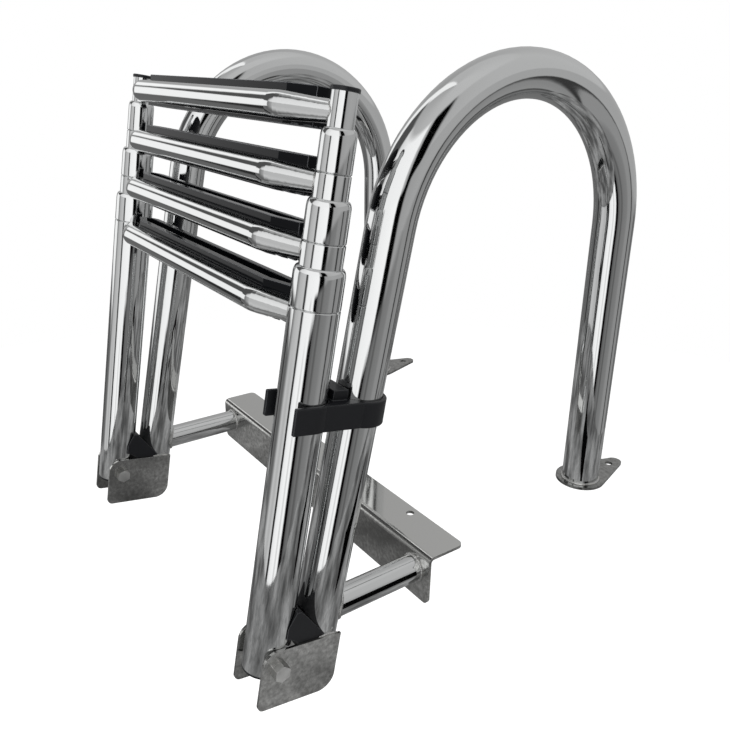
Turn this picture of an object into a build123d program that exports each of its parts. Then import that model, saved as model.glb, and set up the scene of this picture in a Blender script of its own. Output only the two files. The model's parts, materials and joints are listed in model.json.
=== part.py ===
from build123d import *
import os
from math import atan2, cos, radians, sin, tan

# Folding, telescoping boarding ladder with two handrail hoops, in millimetres.
# +X is starboard, +Y inboard over the deck, +Z up. The origin is on the underside
# of the deck angle, which lies on the deck, so the deck is the plane z = 0.
# It is modelled stowed: folded up against the handrails, with its tubes nested.

# Deck fittings
plate_thickness = 3.0
rail_spacing = 371.0
angle_length = 414.0
angle_depth = 41.6
angle_height = 51.0
angle_bend_radius = 6.0
angle_corner_radius = 6.0
angle_hole_spacing = 278.0
angle_hole_from_back = 8.8
deck_hole_diameter = 8.0

# Handrail hoops
handrail_od = 38.1
handrail_wall = 1.5
front_foot_to_angle = 121.2
front_lean = 11.7
rear_foot_to_angle = 210.5
rear_lean = 0.9
hoop_height = 408.3
leg_below_deck = 60.0
flange_radius = 25.5
flange_tip_radius = 8.0
flange_tip_reach = 58.0
flange_hole_reach = 49.0

# Standoff tubes between the front legs and the angle
standoff_od = 25.4
standoff_wall = 1.5
standoff_drop = 18.6

# Pivot brackets, two side plates to each front leg
pivot_to_angle = 175.5
pivot_drop = 38.6
bracket_thickness = 2.5
bracket_side_gap = 0.3
bracket_height = 54.5
bracket_front = 15.0
bracket_rear = 57.5
bracket_above_pivot = 17.5
bracket_pivot_corner_radius = 13.0
bracket_corner_radius = 6.0
bracket_rear_corner_radius = 15.0
bolt_diameter = 8.0
bolt_head_diameter = 15.0
bolt_head_height = 4.5
nut_across_flats = 13.0
nut_height = 7.0
nut_dome_height = 1.0
bolt_clearance = 0.2
cope_distance = 41.0
cope_slope = 46.0
pivot_sweep_radius = 24.5

# Filler blocks, in the valley between rail and leg
block_top = 47.0
block_bottom = 4.0
block_crown_near = 12.0
block_crown_far = 16.0
block_slope = 8.0
block_leg_side = 19.0
block_leg_reach = 17.0

# Ladder sections: four pairs of tubes, each nested in the one before
section_count = 4
ladder_lean = 9.8
rail_od = 38.1
rail_wall = 1.5
nest_gap = 1.65
slide_clearance = 0.3
rail_below_pivot = 9.0
plug_rim = 2.5
plug_depth = 29.0
spigot_clearance = 0.1
first_seam = 293.4
rung_pitch = 46.9
collar_height = 29.5
collar_lip = 0.3
collar_spigot = 12.0
seam_chamfer = 1.0
inner_tube_foot = 52.0
guide_height = 14.0
top_stub = 56.0
cap_height = 3.0
cap_overhang = 0.8
cap_spigot = 10.0

# Rungs, each a bent tube with a plastic tread on its walking side
rung_od = 20.0
rung_wall = 1.2
rung_reach = 19.0
rung_bend_x = 132.0
rung_bend_radius = 18.0
rung_end_height = 15.4
rung_end_width = 18.0
rung_end_from_axis = 3.0
rung_swage_start = 7.0
rung_below_seam = 7.5
tread_half_length = 157.0
tread_rear = 14.0
tread_front = 13.0
tread_lip = 1.7
tread_floor = 3.0
tread_rim_height = 16.0
tread_wall = 2.5
tread_rear_bar = 6.0
tread_rear_radius = 11.0
ridge_pitch = 4.0
ridge_width = 2.0
ridge_depth = 1.0
tread_rail_gap = 6.0
seat_gap = 0.3

# Clip that holds the stowed ladder to the starboard handrail
clip_height = 21.0
clip_middle = 214.0
clip_wall = 3.6
clip_arm_reach = 18.0
clip_web_width = 24.0
clip_web_rise = 8.0
clip_edge_radius = 1.0
grip_ridge_radius = 1.2
grip_ridge_pitch = 5.0
grip_ridge_count = 3

rail_x = rail_spacing / 2
deck_top = plate_thickness
BASE = (Align.CENTER, Align.CENTER, Align.MIN)
SIDES = {"port": -1, "starboard": 1}
parts = {}


def tube(outer_radius, inner_radius, low, high):
    """Upright tube from low to high."""
    height = high - low
    body = Cylinder(outer_radius, height, align=BASE)
    return Pos(0, 0, low) * (body - Cylinder(inner_radius, height, align=BASE))


def from_ladder(shape):
    """Places a shape drawn in the ladder's frame: pivot at 0, +Z up the rails, +Y inboard."""
    return Pos(0, -pivot_to_angle, -pivot_drop) * Rot(-ladder_lean, 0, 0) * shape


def ladder_point(y, z):
    """The row's Y and Z of a point in the ladder's frame."""
    lean = radians(ladder_lean)
    return (
        -pivot_to_angle + y * cos(lean) + z * sin(lean),
        -pivot_drop - y * sin(lean) + z * cos(lean),
    )


def from_leg(shape):
    """Places a shape drawn with the front leg's axis as +Z and the deck's top at 0."""
    return Pos(0, -front_foot_to_angle, deck_top) * Rot(-front_lean, 0, 0) * shape


def leg_gap_at(height):
    """How far inboard of the rail's axis the leg's axis is, at a height up the rail."""
    low_y, low_z = ladder_point(0, height)
    relative_lean = radians(front_lean - ladder_lean)
    leg_y = -front_foot_to_angle + (low_z - deck_top) * tan(radians(front_lean))
    return (leg_y - low_y) * cos(radians(front_lean)) / cos(relative_lean)


def leg_core(radius):
    """Solid cylinder round the front leg's axis, longer than the leg's straight part."""
    return from_leg(Pos(0, 0, -2 * leg_below_deck) * Cylinder(radius, hoop_height, align=BASE))


def below_cope(distance):
    """Everything outboard of a slanted plane at that distance above the pivot."""
    size = 4 * handrail_od
    block = Pos(0, 0, distance) * Box(size, size, size, align=(Align.CENTER, Align.CENTER, Align.MAX))
    return from_ladder(Rot(-cope_slope, 0, 0) * block)


def hoop_path():
    """Centre line of a handrail: front leg, top arc and rear leg, tangent to each other."""
    front, rear = radians(front_lean), radians(rear_lean)
    front_dir = Vector(0, sin(front), cos(front))
    rear_dir = Vector(0, -sin(rear), cos(rear))
    front_foot = Vector(0, -front_foot_to_angle, deck_top)
    rear_foot = Vector(0, rear_foot_to_angle, deck_top)
    rear_end = rear_foot - rear_dir * plate_thickness
    half_angle, tilt = (front + rear) / 2, (front - rear) / 2
    foot_distance = rear_foot_to_angle + front_foot_to_angle
    apex = front_foot + front_dir * (foot_distance * cos(rear) / sin(front + rear))
    to_centre = (apex.Z - hoop_height) / (cos(tilt) - sin(half_angle))
    radius = to_centre * sin(half_angle)
    up = Vector(0, sin(tilt), cos(tilt))
    crown = apex - up * (to_centre - radius)
    to_tangent = to_centre * cos(half_angle)
    front_tangent = apex - front_dir * to_tangent
    rear_tangent = apex - rear_dir * to_tangent
    front_end = front_foot - front_dir * leg_below_deck
    return (
        Line(front_end, front_tangent)
        + ThreePointArc(front_tangent, crown, rear_tangent)
        + Line(rear_tangent, rear_end)
    ), front_end, front_dir


def make_handrail():
    path, start, direction = hoop_path()
    radius = handrail_od / 2
    ring = Circle(radius) - Circle(radius - handrail_wall)
    hoop = sweep(Plane(origin=start, z_dir=direction) * ring, path=path)
    # The rear foot runs down past the flange's top and is cut off flush with it
    below = Pos(0, rear_foot_to_angle, deck_top - handrail_od) * Box(
        2 * handrail_od, 2 * handrail_od, handrail_od, align=BASE
    )
    return hoop - below_cope(cope_distance) - below


def make_rear_flange():
    tip_y = rear_foot_to_angle + flange_tip_reach
    outline = make_hull(
        [
            *(Pos(0, rear_foot_to_angle) * Circle(flange_radius)).edges(),
            *(Pos(0, tip_y) * Circle(flange_tip_radius)).edges(),
        ]
    )
    hole = Pos(0, rear_foot_to_angle + flange_hole_reach) * Circle(deck_hole_diameter / 2)
    return extrude(outline - hole, plate_thickness)


def make_deck_angle():
    half = angle_depth / 2
    deck_leg = Pos(0, 0, plate_thickness / 2) * Box(angle_length, angle_depth, plate_thickness)
    face_leg = Pos(0, -half + plate_thickness / 2, deck_top - angle_height / 2) * Box(
        angle_length, plate_thickness, angle_height
    )
    angle = deck_leg + face_leg
    bend = angle.edges().filter_by(Axis.X).group_by(Axis.Z)[-1].sort_by(Axis.Y)[0]
    angle = fillet(bend, angle_bend_radius)
    inner = angle.edges().filter_by(Axis.X).sort_by_distance(Vector(0, -half + plate_thickness, 0))[0]
    angle = fillet(inner, angle_bend_radius - plate_thickness)
    back_corners = angle.edges().filter_by(Axis.Z).group_by(Axis.Y)[-1]
    low_corners = angle.edges().filter_by(Axis.Y).group_by(Axis.Z)[0]
    angle = fillet(back_corners + low_corners, angle_corner_radius)
    hole_y = half - angle_hole_from_back
    for x in (-angle_hole_spacing / 2, angle_hole_spacing / 2):
        angle -= Pos(x, hole_y, plate_thickness / 2) * Cylinder(deck_hole_diameter / 2, 2 * plate_thickness)
    return angle


def make_standoff():
    radius = standoff_od / 2
    length = front_foot_to_angle
    pipe = tube(radius, radius - standoff_wall, 0, length)
    pipe = Pos(0, -angle_depth / 2, -standoff_drop) * Rot(90, 0, 0) * pipe
    return pipe - leg_core(handrail_od / 2) - Pos(0, -2 * length, 0) * Box(
        2 * standoff_od, 2 * length, 4 * standoff_od
    )


def bracket_profile():
    """Side plate in the ladder's frame, as a sketch in its Y and Z."""
    top, bottom = bracket_above_pivot, bracket_above_pivot - bracket_height
    corners = [
        (-bracket_front, bottom),
        (-bracket_front, top),
        (bracket_rear, top),
        (bracket_rear, bottom),
    ]
    sheet = make_face(Polyline(*corners, close=True))
    front_high = sheet.vertices().group_by(Axis.X)[0].sort_by(Axis.Y)[-1]
    sheet = fillet(front_high, bracket_pivot_corner_radius)
    front_low = sheet.vertices().group_by(Axis.Y)[0].sort_by(Axis.X)[0]
    sheet = fillet(front_low, bracket_corner_radius)
    rear_low = sheet.vertices().group_by(Axis.X)[-1].sort_by(Axis.Y)[0]
    return fillet(rear_low, bracket_rear_corner_radius)


def side_plane(x):
    """Sketch plane at X = x whose axes are the ladder's inboard direction and its +Z."""
    return Plane(origin=(x, 0, 0), x_dir=(0, 1, 0), z_dir=(1, 0, 0))


def make_bracket_plate(side):
    """One cheek, side -1 or 1 of the rail."""
    inner = rail_od / 2 + bracket_side_gap
    near = inner if side > 0 else -inner - bracket_thickness
    hole = Circle(bolt_diameter / 2 + bolt_clearance)
    return extrude(side_plane(near) * (bracket_profile() - hole), bracket_thickness)


def dome(radius, height):
    """Low spherical dome of that height on a circle of that radius, standing on z = 0."""
    sphere_radius = (height**2 + radius**2) / (2 * height)
    ball = Pos(0, 0, height - sphere_radius) * Sphere(sphere_radius)
    return ball & Cylinder(2 * radius, 2 * height, align=BASE)


def make_pivot_bolt():
    """Bolt through rail and cheeks, domed nut at its starboard end and round head at the other."""
    face = rail_od / 2 + bracket_side_gap + bracket_thickness
    shank = Cylinder(bolt_diameter / 2, 2 * face)
    nut_radius = nut_across_flats / 2
    nut = extrude(RegularPolygon(nut_radius, 6, major_radius=False), nut_height)
    nut += Pos(0, 0, nut_height) * dome(nut_radius, nut_dome_height)
    head = Rot(180, 0, 0) * dome(bolt_head_diameter / 2, bolt_head_height)
    return Rot(0, 90, 0) * (shank + Pos(0, 0, face) * nut + Pos(0, 0, -face) * head)


def make_filler_block():
    """Plastic block that fills the valley between rail and leg above the bracket."""
    leg_side = leg_gap_at(0) - handrail_od / 2 + block_leg_reach
    outline = Polyline(
        (0, block_top / 2),
        (block_crown_near - block_slope / 2, block_top - block_slope),
        (block_crown_near, block_top),
        (block_crown_far, block_top),
        (block_crown_far + block_slope, block_top - block_slope),
        (leg_side, block_leg_side),
        (leg_side, block_bottom),
        (pivot_sweep_radius, block_bottom),
        close=True,
    )
    block = extrude(side_plane(0) * make_face(outline), rail_od / 2, both=True)
    pivot_round = Rot(0, 90, 0) * Cylinder(pivot_sweep_radius, rail_od)
    rail = Cylinder(rail_od / 2 + 2 * seat_gap, 4 * block_top)
    leg = leg_core(handrail_od / 2 + seat_gap) - below_cope(cope_distance - seat_gap)
    return from_ladder(block - pivot_round - rail) - leg


def make_clip():
    """Sprung clip: a band round the leg whose two arms reach round the rail."""
    radius = rail_od / 2 + clip_wall
    gap = leg_gap_at(clip_middle)
    outline = Circle(radius) + Pos(0, gap) * Circle(radius)
    outline += Pos(0, gap / 2) * Rectangle(2 * radius - clip_wall, gap)
    outline += Pos(0, -clip_arm_reach / 2) * Rectangle(2 * radius, clip_arm_reach)
    band = extrude(outline, clip_height)
    rims = band.edges().group_by(Axis.Z)
    band = fillet(rims[0] + rims[-1], clip_edge_radius)
    slot_radius = rail_od / 2 + 2 * seat_gap
    band -= Pos(0, -radius, 0) * Box(2 * slot_radius, 2 * radius, 4 * clip_height)
    low = clip_middle - clip_height / 2
    body = Pos(0, 0, low) * band
    # Grip ridges across the inboard arm's tip
    ridge = Pos(-radius, -clip_arm_reach / 2, clip_middle) * Rot(90, 0, 0) * Cylinder(
        grip_ridge_radius, clip_arm_reach / 2
    )
    for step in range(grip_ridge_count):
        body += Pos(0, 0, (step - (grip_ridge_count - 1) / 2) * grip_ridge_pitch) * ridge
    web_length = gap - slot_radius - handrail_od / 2
    web = Box(clip_web_width, web_length, clip_height + clip_web_rise, align=BASE)
    body += Pos(0, slot_radius + web_length / 2, low) * web
    body -= Cylinder(slot_radius, 4 * clip_middle)
    return from_ladder(body) - leg_core(handrail_od / 2 + seat_gap)


def section_radius(index):
    """Outer radius of a section's tubes; section 0 carries the pivot."""
    return rail_od / 2 - index * (rail_wall + nest_gap)


def chamfer_top(pipe):
    """Breaks a tube's outer top edge, which makes the seam under its collar a groove."""
    rims = pipe.edges().filter_by(GeomType.CIRCLE).group_by(Axis.Z)[-1]
    return chamfer(rims.sort_by(SortBy.RADIUS)[-1], seam_chamfer)


def make_section_tube(index):
    radius = section_radius(index)
    inner = radius - rail_wall
    if index == 0:
        body = tube(radius, inner, -rail_below_pivot, first_seam)
        body -= Rot(0, 90, 0) * Cylinder(bolt_diameter / 2 + bolt_clearance, rail_od)
        return chamfer_top(body)
    if index == section_count - 1:
        top = first_seam + (index - 1) * rung_pitch + top_stub - cap_height
        return tube(radius, inner, inner_tube_foot, top)
    return chamfer_top(tube(radius, inner, inner_tube_foot, first_seam + index * rung_pitch))


def make_plug():
    """Plastic plug in a base tube's foot, bored for the pivot bolt."""
    radius = section_radius(0)
    rim = Pos(0, 0, -rail_below_pivot - plug_rim) * Cylinder(radius, plug_rim, align=BASE)
    rim = fillet(rim.edges().group_by(Axis.Z)[0], plug_rim / 2)
    core = Pos(0, 0, -rail_below_pivot) * Cylinder(
        radius - rail_wall - spigot_clearance, plug_depth, align=BASE
    )
    return rim + core - Rot(0, 90, 0) * Cylinder(bolt_diameter / 2 + bolt_clearance, rail_od)


def make_collar(index):
    """Collar on top of a section's tube, which guides the next tube."""
    radius = section_radius(index)
    bore = section_radius(index + 1) + slide_clearance
    seam = first_seam + index * rung_pitch
    ring = Pos(0, 0, seam) * Cylinder(radius, collar_height, align=BASE)
    ring = fillet(ring.edges().group_by(Axis.Z)[-1], radius - bore - collar_lip)
    ring = chamfer(ring.edges().group_by(Axis.Z)[0], seam_chamfer)
    spigot = Pos(0, 0, seam - collar_spigot) * Cylinder(
        radius - rail_wall - spigot_clearance, collar_spigot, align=BASE
    )
    return ring + spigot - Cylinder(bore, 4 * seam)


def make_guide(index):
    """Ring round a nested tube's foot, which runs in the tube outside it."""
    outer = section_radius(index - 1) - rail_wall - slide_clearance
    return tube(outer, section_radius(index), inner_tube_foot, inner_tube_foot + guide_height)


def make_cap():
    radius = section_radius(section_count - 1)
    top = first_seam + (section_count - 2) * rung_pitch + top_stub
    rim = Pos(0, 0, top - cap_height) * Cylinder(radius + cap_overhang, cap_height, align=BASE)
    rim = fillet(rim.edges().group_by(Axis.Z)[-1], cap_height / 3)
    spigot = Pos(0, 0, top - cap_height - cap_spigot) * Cylinder(
        radius - rail_wall - spigot_clearance, cap_spigot, align=BASE
    )
    return rim + spigot


def rung_height(index):
    return first_seam + index * rung_pitch - rung_below_seam


def rung_core(radius):
    """Solid round bar along the rung's centre line, from rail axis to rail axis."""
    port = Vector(-rail_x, 0, 0)
    port_bend = Vector(-rung_bend_x, -rung_reach, 0)
    bend = Vector(rung_bend_x, -rung_reach, 0)
    path = FilletPolyline(port, port_bend, bend, Vector(rail_x, 0, 0), radius=rung_bend_radius)
    return sweep(Plane(origin=port, z_dir=port_bend - port) * Circle(radius), path=path)


def make_rung(index):
    """Bent tube whose ends are swaged down and coped to the section's tubes."""
    bend = Vector(rung_bend_x, -rung_reach, 0)
    axis_point = Vector(rail_x, 0, 0)
    end_dir = (axis_point - bend).normalized()
    start = bend + end_dir * rung_swage_start
    end = axis_point - end_dir * rung_end_from_axis
    port_start = Vector(-start.X, start.Y, 0)
    port_bend = Vector(-bend.X, bend.Y, 0)
    path = FilletPolyline(port_start, port_bend, bend, start, radius=rung_bend_radius)
    radius = rung_od / 2
    ring = Circle(radius) - Circle(radius - rung_wall)
    middle = sweep(Plane(origin=port_start, z_dir=port_bend - port_start) * ring, path=path)
    across = Vector(-end_dir.Y, end_dir.X, 0)

    def swage(inset):
        round_end = Plane(origin=start, x_dir=across, z_dir=end_dir) * Circle(radius - inset)
        flat_end = Plane(origin=end, x_dir=across, z_dir=end_dir) * Ellipse(
            rung_end_width / 2 - inset, rung_end_height / 2 - inset
        )
        return loft([round_end, flat_end])

    tip = swage(0) - swage(rung_wall)
    rung = middle + tip + mirror(tip, about=Plane.YZ)
    rail = Cylinder(section_radius(index), 4 * rung_od)
    rung -= Pos(rail_x, 0, 0) * rail + Pos(-rail_x, 0, 0) * rail
    return Pos(0, 0, rung_height(index)) * rung


def beside_rung(offset, half_length, far_edge):
    """Plan of the area from far_edge to a line that follows the rung's bends.

    The line runs offset inboard of the rung's centre line.
    """
    bend_angle = atan2(rung_reach, rail_x - rung_bend_x)
    near = offset - rung_reach
    bend_x = rung_bend_x - offset * tan(bend_angle / 2)
    end = near + (rail_x - bend_x) * tan(bend_angle)
    area = make_face(
        Polyline(
            (-rail_x, far_edge),
            (-rail_x, end),
            (-bend_x, near),
            (bend_x, near),
            (rail_x, end),
            (rail_x, far_edge),
            close=True,
        )
    )
    return area & Rectangle(2 * half_length, 4 * rail_x)


def make_tread(index):
    """Plastic tread: a deep ribbed tray that hugs the inboard side of the rung's tube."""
    low = -rung_od / 2 - seat_gap - tread_lip
    outline = beside_rung(rung_reach - tread_front, tread_half_length, tread_rear)
    outline = fillet(outline.vertices().group_by(Axis.Y)[-1], tread_rear_radius)
    tread = Pos(0, 0, low) * extrude(outline, tread_rim_height - low)
    tube_side = rung_od / 2 + seat_gap
    tread -= rung_core(tube_side)
    tray_half = tread_half_length - tread_wall
    tray = beside_rung(tube_side + tread_wall, tray_half, tread_rear - tread_rear_bar)
    tray = fillet(tray.vertices().group_by(Axis.Y)[-1], tread_rear_radius - tread_rear_bar)
    tread -= Pos(0, 0, low + tread_floor) * extrude(tray, 4 * rung_od)
    first = -tread_front + ridge_pitch
    count = int((tread_rear - first) / ridge_pitch)
    for step in range(count):
        groove = Box(rail_spacing, ridge_pitch - ridge_width, 2 * ridge_depth)
        tread -= Pos(0, first + step * ridge_pitch, low) * groove
    # However long the tread is, its ends stay clear of the tubes
    for x in (-rail_x, rail_x):
        tread -= Pos(x, 0, 0) * Cylinder(rail_od / 2 + tread_rail_gap, 4 * rung_od)
    return Pos(0, 0, rung_height(index)) * tread


handrail = make_handrail()
flange = make_rear_flange()
standoff = make_standoff()
cheeks = {sign: from_ladder(make_bracket_plate(sign)) for sign in SIDES.values()}
bolt = from_ladder(make_pivot_bolt())
block = make_filler_block()

parts["deck_angle"] = make_deck_angle()
for side, sign in SIDES.items():
    place = Pos(sign * rail_x, 0, 0)
    parts[f"handrail_{side}"] = place * handrail
    parts[f"rear_flange_{side}"] = place * flange
    parts[f"standoff_{side}"] = place * standoff
    parts[f"bracket_outer_cheek_{side}"] = place * cheeks[sign]
    parts[f"bracket_inner_cheek_{side}"] = place * cheeks[-sign]
    parts[f"pivot_bolt_{side}"] = place * bolt
    parts[f"filler_block_{side}"] = place * block
parts["stowing_clip"] = Pos(rail_x, 0, 0) * make_clip()

for index in range(section_count):
    number = index + 1
    pieces = {f"rail_{number}": make_section_tube(index)}
    if index == 0:
        pieces["rail_plug"] = make_plug()
    if index < section_count - 1:
        pieces[f"collar_{number}"] = make_collar(index)
    else:
        pieces["rail_cap"] = make_cap()
    for name, piece in pieces.items():
        for side, sign in SIDES.items():
            parts[f"{name}_{side}"] = from_ladder(Pos(sign * rail_x, 0, 0) * piece)
    if index > 0:
        guide = make_guide(index)
        pair = [Pos(sign * rail_x, 0, 0) * guide for sign in SIDES.values()]
        parts[f"guides_{number}"] = from_ladder(Compound(children=pair))
    parts[f"rung_{number}"] = from_ladder(make_rung(index))
    parts[f"tread_{number}"] = from_ladder(make_tread(index))

os.makedirs("parts", exist_ok=True)
for name, shape in parts.items():
    export_step(shape, f"parts/{name}.step")
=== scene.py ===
import json
import math

import bmesh
import bpy
from mathutils import Matrix, Quaternion, Vector


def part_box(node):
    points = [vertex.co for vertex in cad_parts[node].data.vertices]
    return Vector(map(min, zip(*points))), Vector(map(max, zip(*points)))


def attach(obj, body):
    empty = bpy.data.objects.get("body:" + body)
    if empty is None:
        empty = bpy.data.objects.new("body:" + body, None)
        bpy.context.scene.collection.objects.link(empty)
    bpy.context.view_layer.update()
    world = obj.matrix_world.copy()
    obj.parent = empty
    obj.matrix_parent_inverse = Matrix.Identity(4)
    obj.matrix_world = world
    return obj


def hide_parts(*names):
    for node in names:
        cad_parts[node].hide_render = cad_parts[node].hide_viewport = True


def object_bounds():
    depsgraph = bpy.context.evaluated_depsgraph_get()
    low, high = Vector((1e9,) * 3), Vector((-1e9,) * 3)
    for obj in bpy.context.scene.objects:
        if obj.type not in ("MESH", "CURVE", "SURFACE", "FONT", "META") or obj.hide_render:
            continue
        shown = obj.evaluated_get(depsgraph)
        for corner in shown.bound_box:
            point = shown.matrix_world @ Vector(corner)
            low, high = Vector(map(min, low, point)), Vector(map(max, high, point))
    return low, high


bl_info = {
    "name": "Boat Ladder Dressing",
    "version": (1, 0, 0),
    "blender": (4, 5, 0),
    "location": "View3D > Sidebar > Boat Ladder",
    "description": "Finishes, welds and studio for a folding telescoping boat ladder",
    "category": "Object",
}

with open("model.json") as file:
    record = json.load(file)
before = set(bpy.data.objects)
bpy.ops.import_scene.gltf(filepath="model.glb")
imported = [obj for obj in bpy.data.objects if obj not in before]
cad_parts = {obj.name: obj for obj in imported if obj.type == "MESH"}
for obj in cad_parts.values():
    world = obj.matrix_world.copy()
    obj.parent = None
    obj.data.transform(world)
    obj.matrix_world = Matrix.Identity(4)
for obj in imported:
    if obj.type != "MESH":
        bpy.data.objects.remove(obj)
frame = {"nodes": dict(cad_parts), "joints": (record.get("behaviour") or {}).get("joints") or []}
CAD_LOW, CAD_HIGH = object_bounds()
NODES = frame["nodes"]
SIDES = {"port": -1, "starboard": 1}
MM = 0.001
# Edges that turn more than this stay crisp
SHARP = math.radians(40)
# Facets of the round pieces: across a ring's bead and along it, across a straight bead and
# along it, round a collar, across its eased edges, and round the floor
BEAD_FACETS = 10
RING_FACETS = 120
RUN_SIDES = 12
RUN_FACETS = 48
COLLAR_FACETS = 96
EDGE_FACETS = 6
FLOOR_FACETS = 64

# Sizes read off the frame, in metres
FOLD = next(joint for joint in frame["joints"] if joint["name"] == "fold")
SLIDE = next(joint for joint in frame["joints"] if joint["name"] == "slide_2")
PIVOT = Vector(FOLD["pos_m"])
RAIL_UP = Vector(SLIDE["axis"]).normalized()
TUBE_X = (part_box("handrail_starboard")[0].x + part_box("handrail_starboard")[1].x) / 2
TUBE_RADIUS = (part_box("handrail_starboard")[1].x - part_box("handrail_starboard")[0].x) / 2
FLANGE_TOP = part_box("rear_flange_port")[1].z
# Square to the rails, towards the deck
INBOARD = RAIL_UP.cross(Vector((1, 0, 0)))
# The handrails' front legs pass the deck's level this far outboard, leaning inboard
LEG_FOOT_Y = -121.2 * MM
LEG_LEAN = math.radians(11.7)
# Stowed, each collar and rung stands this far above the one below
STOWED_PITCH = 46.9 * MM


def linear_colour(code):
    """Linear RGBA of an sRGB hex colour such as #8a8a88."""
    channels = [int(code[i : i + 2], 16) / 255 for i in (1, 3, 5)]
    linear = [c / 12.92 if c <= 0.04045 else ((c + 0.055) / 1.055) ** 2.4 for c in channels]
    return (*linear, 1.0)


def add_node(tree, kind, inputs=None, **settings):
    """Adds a shader node, sets its properties, and fills or links its inputs by name or number."""
    made = tree.nodes.new("ShaderNode" + kind)
    for name, value in settings.items():
        setattr(made, name, value)
    for name, value in (inputs or {}).items():
        if isinstance(value, bpy.types.NodeSocket):
            tree.links.new(value, made.inputs[name])
        else:
            made.inputs[name].default_value = value
    return made


def set_ramp(ramp, stops):
    """Gives a colour ramp its (position, shade) stops."""
    elements = ramp.color_ramp.elements
    while len(elements) > 1:
        elements.remove(elements[-1])
    for number, (position, shade) in enumerate(stops):
        element = elements[0] if number == 0 else elements.new(position)
        element.position = position
        element.color = (shade, shade, shade, 1.0)


def new_material(name):
    """An empty material, its node tree and its output node."""
    material = bpy.data.materials.new(name)
    material.use_nodes = True
    tree = material.node_tree
    tree.nodes.clear()
    return material, tree, add_node(tree, "OutputMaterial")


def dress(nodes, material):
    """Puts one material on CAD nodes."""
    for name in nodes:
        slots = NODES[name].data.materials
        slots.clear()
        slots.append(material)


def names_starting(*starts):
    return [name for name in NODES if name.startswith(starts)]


def make_object(name, bm, material, body):
    """Turns a finished bmesh into a smooth-shaded piece that rides on a body."""
    mesh = bpy.data.meshes.new(name)
    bmesh.ops.recalc_face_normals(bm, faces=bm.faces)
    # The operator can leave a thin ring or run inside out, which its volume tells
    if bm.calc_volume(signed=True) < 0:
        bmesh.ops.reverse_faces(bm, faces=bm.faces)
    bm.to_mesh(mesh)
    bm.free()
    mesh.shade_smooth()
    mesh.set_sharp_from_angle(angle=SHARP)
    mesh.materials.append(material)
    piece = bpy.data.objects.new(name, mesh)
    bpy.context.scene.collection.objects.link(piece)
    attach(piece, body)
    return piece


class SteelSettings(bpy.types.PropertyGroup):
    tube_colour: bpy.props.StringProperty(name="Tube steel", description="sRGB hex", default="#d8d9d9")
    plate_colour: bpy.props.StringProperty(name="Plate steel", description="sRGB hex", default="#d2d2d0")
    plate_dark: bpy.props.StringProperty(name="Plate mottle", description="sRGB hex", default="#9c9c9a")
    bolt_colour: bpy.props.StringProperty(name="Bolt steel", description="sRGB hex", default="#e6e6e4")
    weld_tint: bpy.props.StringProperty(name="Weld tint", description="sRGB hex", default="#aaa8a4")
    flange_shade: bpy.props.FloatProperty(
        name="Flange shade",
        description="How much darker the deck flanges are",
        default=0.4,
        subtype="FACTOR",
    )
    edge: bpy.props.FloatProperty(
        name="Broken edge",
        description="Radius that the sharp edges are broken to",
        default=0.4 * MM,
        unit="LENGTH",
    )
    polish_line: bpy.props.FloatProperty(
        name="Polishing line", description="Spacing of the buffed lines", default=0.9 * MM, unit="LENGTH"
    )


class CollarSettings(bpy.types.PropertyGroup):
    height: bpy.props.FloatProperty(
        name="Height", description="Height of each collar", default=29.5 * MM, unit="LENGTH"
    )
    shoulder: bpy.props.FloatProperty(
        name="Shoulder", description="Radius of the collars' upper edge", default=2.8 * MM, unit="LENGTH"
    )
    shoulder_stretch: bpy.props.FloatProperty(
        name="Shoulder stretch", description="Height of the rounded shoulder to its depth", default=2.2
    )
    foot_ease: bpy.props.FloatProperty(
        name="Foot", description="Radius of the collars' lower edge", default=0.8 * MM, unit="LENGTH"
    )
    bore_gap: bpy.props.FloatProperty(
        name="Bore gap",
        description="Gap round the tube that slides through",
        default=0.2 * MM,
        unit="LENGTH",
    )
    first_seam: bpy.props.FloatProperty(
        name="First seam",
        description="Height of the lowest collar above the pivot",
        default=293.4 * MM,
        unit="LENGTH",
    )
    pitch: bpy.props.FloatProperty(
        name="Pitch",
        description="Distance from collar to collar, stowed",
        default=STOWED_PITCH,
        unit="LENGTH",
    )


class PlasticSettings(bpy.types.PropertyGroup):
    tread_colour: bpy.props.StringProperty(name="Tread plastic", description="sRGB hex", default="#0c0d10")
    clip_colour: bpy.props.StringProperty(name="Clip plastic", description="sRGB hex", default="#141518")
    nylon_colour: bpy.props.StringProperty(name="Guide nylon", description="sRGB hex", default="#d8d5cb")
    edge: bpy.props.FloatProperty(
        name="Rounded edge", description="Radius of the mould's edges", default=1.1 * MM, unit="LENGTH"
    )
    grain: bpy.props.FloatProperty(
        name="Moulded grain", description="Size of the mould's grain", default=0.6 * MM, unit="LENGTH"
    )
    grain_depth: bpy.props.FloatProperty(
        name="Grain depth", description="Depth of the mould's grain", default=0.02 * MM, unit="LENGTH"
    )
    # Pale colour painted along the moulded edges as a highlight
    highlight_colour: bpy.props.StringProperty(name="Painted highlight", description="sRGB hex", default="#a4a6aa")


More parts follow.
